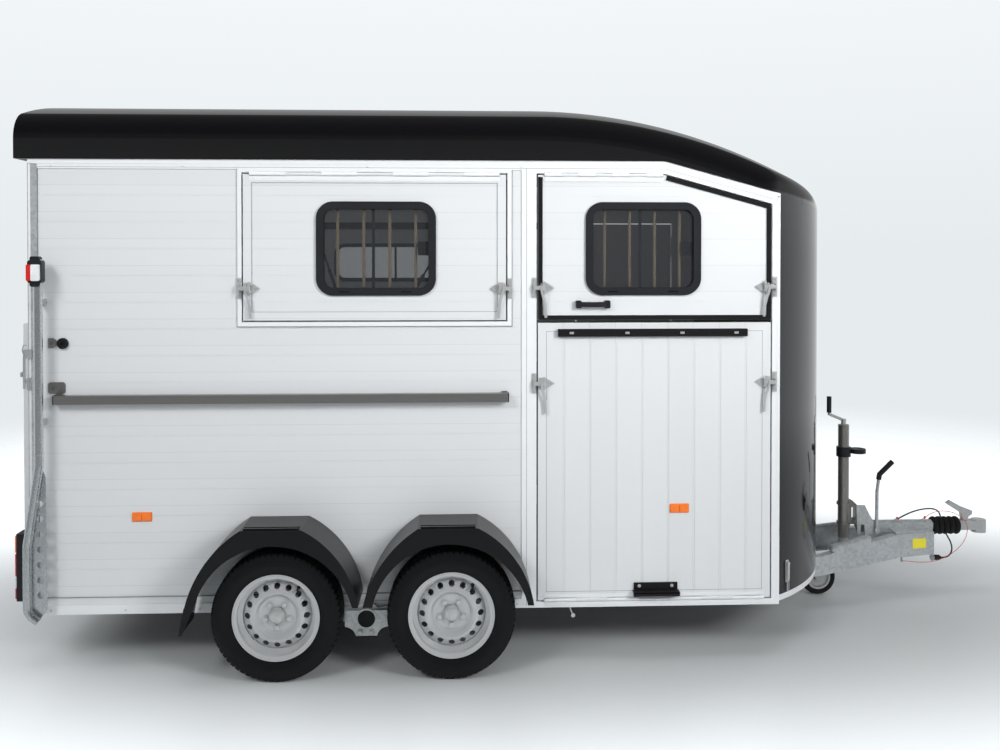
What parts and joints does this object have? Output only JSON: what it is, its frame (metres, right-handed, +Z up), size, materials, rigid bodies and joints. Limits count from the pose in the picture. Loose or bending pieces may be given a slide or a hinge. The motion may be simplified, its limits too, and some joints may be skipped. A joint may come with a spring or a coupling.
{
  "type": "two-horse trailer",
  "caption": "Enclosed two-horse road trailer with planked sides, moulded roof and nose, loading ramps, side flaps, tandem wheels and a jockey wheel.",
  "frame": {"origin": "on the ground under the middle of the trailer's bounding box", "axes": "+X towards the coupling, +Y to the trailer's left, +Z up"},
  "size_m": [5.051, 2.26, 2.69],
  "materials": {
    "galvanised": "hot-dip galvanised",
    "floor_board": "coated plywood",
    "black_skin": "gloss gel coat",
    "pale_profile": "satin anodised",
    "aluminium_plank": "satin anodised planks",
    "black_rubber": "matte rubber",
    "black_plastic": "satin plastic",
    "red_plastic": "plastic sheath on steel wire",
    "cast_head": "zinc-plated casting",
    "glass": "tinted acrylic",
    "lamp": "moulded lens",
    "jockey_tyre": "solid rubber",
    "tyre": "road tyre",
    "rim": "silver paint",
    "hub": "zinc-plated"
  },
  "bodies": {
    "root": {"beam_left": "galvanised", "beam_right": "galvanised", "bellows": "black_rubber", "brake_grip": "black_plastic", "brake_lever": "galvanised", "breakaway_cable": "red_plastic", "coupling_handle": "black_plastic", "coupling_head": "cast_head", "crank_grip": "black_plastic", "crossmembers": "galvanised", "far_glass": "glass", "far_window": "black_plastic", "fenders_left": "black_skin", "fenders_right": "black_skin", "floor": "floor_board", "frame_left": "pale_profile", "frame_right": "pale_profile", "jockey_crank": "galvanised", "jockey_tube": "galvanised", "lead": "black_rubber", "lead_plug": "black_plastic", "nose": "black_skin", "overrun_housing": "galvanised", "partition": "galvanised", "pivot_tube": "galvanised", "rear_frame": "pale_profile", "rear_lamps": "lamp", "rear_sill": "galvanised", "rear_tube_left": "galvanised", "rear_tube_right": "galvanised", "roof": "black_skin", "side_bar": "galvanised", "swing_arms_left": "galvanised", "swing_arms_right": "galvanised", "wall_left": "aluminium_plank", "wall_right": "aluminium_plank"},
    "wheel_front_right": {"tyre_front_right": "tyre", "rim_front_right": "rim", "hub_front_right": "hub"},
    "wheel_front_left": {"tyre_front_left": "tyre", "rim_front_left": "rim", "hub_front_left": "hub"},
    "wheel_rear_right": {"tyre_rear_right": "tyre", "rim_rear_right": "rim", "hub_rear_right": "hub"},
    "wheel_rear_left": {"tyre_rear_left": "tyre", "rim_rear_left": "rim", "hub_rear_left": "hub"},
    "jockey_stem": {"jockey_inner": "galvanised"},
    "jockey_castor": {"jockey_fork": "galvanised"},
    "jockey_roller": {"jockey_wheel": "jockey_tyre"},
    "side_hatch": {"hatch": "aluminium_plank", "hatch_window": "black_plastic", "hatch_glass": "glass"},
    "upper_flap": {"front_flap": "aluminium_plank", "flap_window": "black_plastic", "flap_glass": "glass"},
    "front_ramp": {"side_ramp": "aluminium_plank"},
    "tail_ramp": {"rear_ramp": "aluminium_plank"},
    "entrance_door": {"groom_door": "aluminium_plank"}
  },
  "joints": [
    {"name": "spin_front_right", "type": "hinge", "parent": "root", "child": "wheel_front_right", "pos_m": [-0.517, -1.009, 0.292], "axis": [0, 1, 0], "continuous": true},
    {"name": "spin_front_left", "type": "hinge", "parent": "root", "child": "wheel_front_left", "pos_m": [-0.517, 1.009, 0.292], "axis": [0, 1, 0], "continuous": true},
    {"name": "spin_rear_right", "type": "hinge", "parent": "root", "child": "wheel_rear_right", "pos_m": [-1.302, -1.009, 0.292], "axis": [0, 1, 0], "continuous": true},
    {"name": "spin_rear_left", "type": "hinge", "parent": "root", "child": "wheel_rear_left", "pos_m": [-1.302, 1.009, 0.292], "axis": [0, 1, 0], "continuous": true},
    {"name": "jockey_slide", "type": "slide", "parent": "root", "child": "jockey_stem", "axis": [0, 0, -1], "range_m": [0, 0.22]},
    {"name": "jockey_swivel", "type": "hinge", "parent": "jockey_stem", "child": "jockey_castor", "pos_m": [1.7005, 0, 0.268], "axis": [0, 0, 1], "continuous": true},
    {"name": "jockey_spin", "type": "hinge", "parent": "jockey_castor", "child": "jockey_roller", "pos_m": [1.5505, 0, 0.098], "axis": [0, 1, 0], "continuous": true},
    {"name": "hatch_hinge", "type": "hinge", "parent": "root", "child": "side_hatch", "pos_m": [-0.8735, -0.88, 2.293], "axis": [-1, 0, 0], "range_deg": [0, 88]},
    {"name": "flap_hinge", "type": "hinge", "parent": "root", "child": "upper_flap", "pos_m": [0.4405, -0.88, 2.293], "axis": [-1, 0, 0], "range_deg": [0, 88]},
    {"name": "ramp_hinge", "type": "hinge", "parent": "root", "child": "front_ramp", "pos_m": [0.4445, -0.88, 0.285], "axis": [1, 0, 0], "range_deg": [0, 98]},
    {"name": "tail_hinge", "type": "hinge", "parent": "root", "child": "tail_ramp", "pos_m": [-2.5058, 0, 0.3], "axis": [0, -1, 0], "range_deg": [0, 100]},
    {"name": "door_hinge", "type": "hinge", "parent": "root", "child": "entrance_door", "pos_m": [0.8905, 0.88, 1.27], "axis": [0, 0, -1], "range_deg": [0, 110]}
  ]
}
